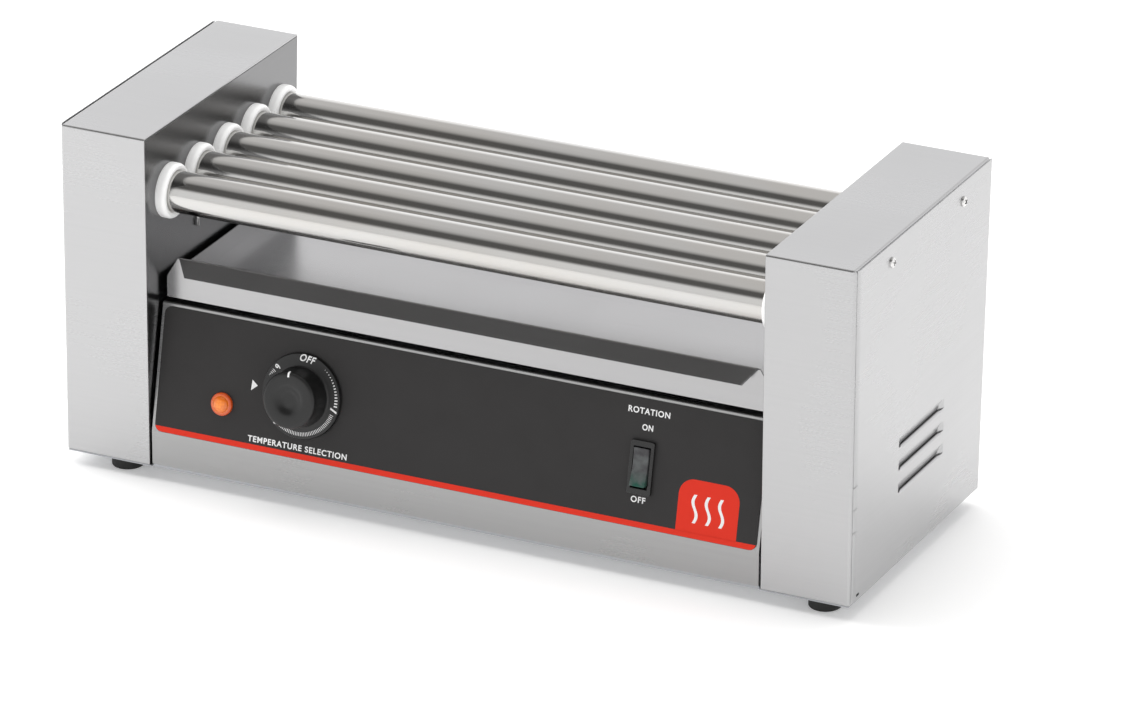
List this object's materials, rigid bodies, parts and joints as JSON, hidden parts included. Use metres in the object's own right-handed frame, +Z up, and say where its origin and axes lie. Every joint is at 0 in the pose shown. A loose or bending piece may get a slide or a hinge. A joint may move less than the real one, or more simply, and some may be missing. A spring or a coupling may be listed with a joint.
{
  "type": "hot dog roller grill",
  "caption": "Countertop roller grill: heated steel rollers on a chain drive between two sheet housings, over a pull-out drip tray, with a sloping control panel.",
  "frame": {"origin": "on the surface the grill stands on, under the middle of its bounding box", "axes": "+X along the rollers towards the housing with the drive, -Y out of the control panel towards the user, +Z up"},
  "size_m": [0.5842, 0.236, 0.2457],
  "materials": {
    "stainless_sheet": "fine horizontal brushed grain",
    "polished_steel": "polished, with faint turning marks",
    "plated_steel": "dull zinc plate",
    "white_ptfe": "smooth, slightly waxy",
    "black_plastic": "satin moulded",
    "panel_film": "printed matt film",
    "black_rubber": "moulded",
    "amber_lens": "clear moulded lens",
    "smoked_plastic": "translucent moulded"
  },
  "bodies": {
    "frame": {"left_housing_wrap": "stainless_sheet", "right_housing_wrap": "stainless_sheet", "left_inner_panel": "stainless_sheet", "right_inner_panel": "stainless_sheet", "left_side_cover": "stainless_sheet", "right_side_cover": "stainless_sheet", "left_cover_screw_1": "polished_steel", "left_cover_screw_2": "polished_steel", "right_cover_screw_1": "polished_steel", "right_cover_screw_2": "polished_steel", "left_bushing_1": "white_ptfe", "left_bushing_2": "white_ptfe", "left_bushing_3": "white_ptfe", "left_bushing_4": "white_ptfe", "left_bushing_5": "white_ptfe", "right_bushing_1": "white_ptfe", "right_bushing_2": "white_ptfe", "right_bushing_3": "white_ptfe", "right_bushing_4": "white_ptfe", "right_bushing_5": "white_ptfe", "heating_element_1": "plated_steel", "heating_element_2": "plated_steel", "heating_element_3": "plated_steel", "heating_element_4": "plated_steel", "heating_element_5": "plated_steel", "left_element_bracket": "plated_steel", "right_element_bracket": "plated_steel", "gear_motor": "plated_steel", "motor_bracket": "plated_steel", "drive_chain": "plated_steel", "front_panel": "stainless_sheet", "control_overlay": "panel_film", "thermostat_body": "black_plastic", "pilot_lamp_lens": "amber_lens", "pilot_lamp_body": "black_plastic", "switch_housing": "black_plastic", "tray_deck": "plated_steel", "base_pan": "plated_steel", "rear_panel": "stainless_sheet", "cord_gland": "black_plastic", "foot_front_left": "black_rubber", "foot_front_right": "black_rubber", "foot_rear_left": "black_rubber", "foot_rear_right": "black_rubber"},
    "front_roller": {"roller_1": "polished_steel", "roller_sprocket_1": "plated_steel"},
    "second_roller": {"roller_2": "polished_steel", "roller_sprocket_2": "plated_steel"},
    "middle_roller": {"roller_3": "polished_steel", "roller_sprocket_3": "plated_steel"},
    "fourth_roller": {"roller_4": "polished_steel", "roller_sprocket_4": "plated_steel"},
    "rear_roller": {"roller_5": "polished_steel", "roller_sprocket_5": "plated_steel"},
    "motor_output": {"motor_shaft": "polished_steel", "motor_sprocket": "plated_steel"},
    "knob": {"control_knob": "black_plastic", "thermostat_spindle": "plated_steel"},
    "rocker": {"rocker_button": "smoked_plastic"},
    "tray": {"drip_tray": "stainless_sheet"}
  },
  "joints": [
    {"name": "roller_1_spin", "type": "hinge", "parent": "frame", "child": "front_roller", "pos_m": [0, -0.07005, 0.1988], "axis": [1, 0, 0], "continuous": true},
    {"name": "roller_2_spin", "type": "hinge", "parent": "frame", "child": "second_roller", "pos_m": [0, -0.03005, 0.1988], "axis": [1, 0, 0], "continuous": true},
    {"name": "roller_3_spin", "type": "hinge", "parent": "frame", "child": "middle_roller", "pos_m": [0, 0.00995, 0.1988], "axis": [1, 0, 0], "continuous": true},
    {"name": "roller_4_spin", "type": "hinge", "parent": "frame", "child": "fourth_roller", "pos_m": [0, 0.04995, 0.1988], "axis": [1, 0, 0], "continuous": true},
    {"name": "roller_5_spin", "type": "hinge", "parent": "frame", "child": "rear_roller", "pos_m": [0, 0.08995, 0.1988], "axis": [1, 0, 0], "continuous": true},
    {"name": "motor_spin", "type": "hinge", "parent": "frame", "child": "motor_output", "pos_m": [0.2716, 0.00995, 0.1238], "axis": [1, 0, 0], "continuous": true},
    {"name": "knob_turn", "type": "hinge", "parent": "frame", "child": "knob", "pos_m": [-0.1138, -0.09211, 0.079], "axis": [0, -0.9772, 0.2123], "range_deg": [-255, 45]},
    {"name": "rocker_tilt", "type": "hinge", "parent": "frame", "child": "rocker", "pos_m": [0.1355, -0.08981, 0.07543], "axis": [1, 0, 0], "range_deg": [0, 10]},
    {"name": "tray_slide", "type": "slide", "parent": "frame", "child": "tray", "axis": [0, -1, 0], "range_m": [0, 0.17]}
  ],
  "couplings": [
    {"joint": "roller_2_spin", "follows": "roller_1_spin", "ratio": 1},
    {"joint": "roller_3_spin", "follows": "roller_1_spin", "ratio": 1},
    {"joint": "roller_4_spin", "follows": "roller_1_spin", "ratio": 1},
    {"joint": "roller_5_spin", "follows": "roller_1_spin", "ratio": 1},
    {"joint": "motor_spin", "follows": "roller_1_spin", "ratio": 1.6}
  ]
}
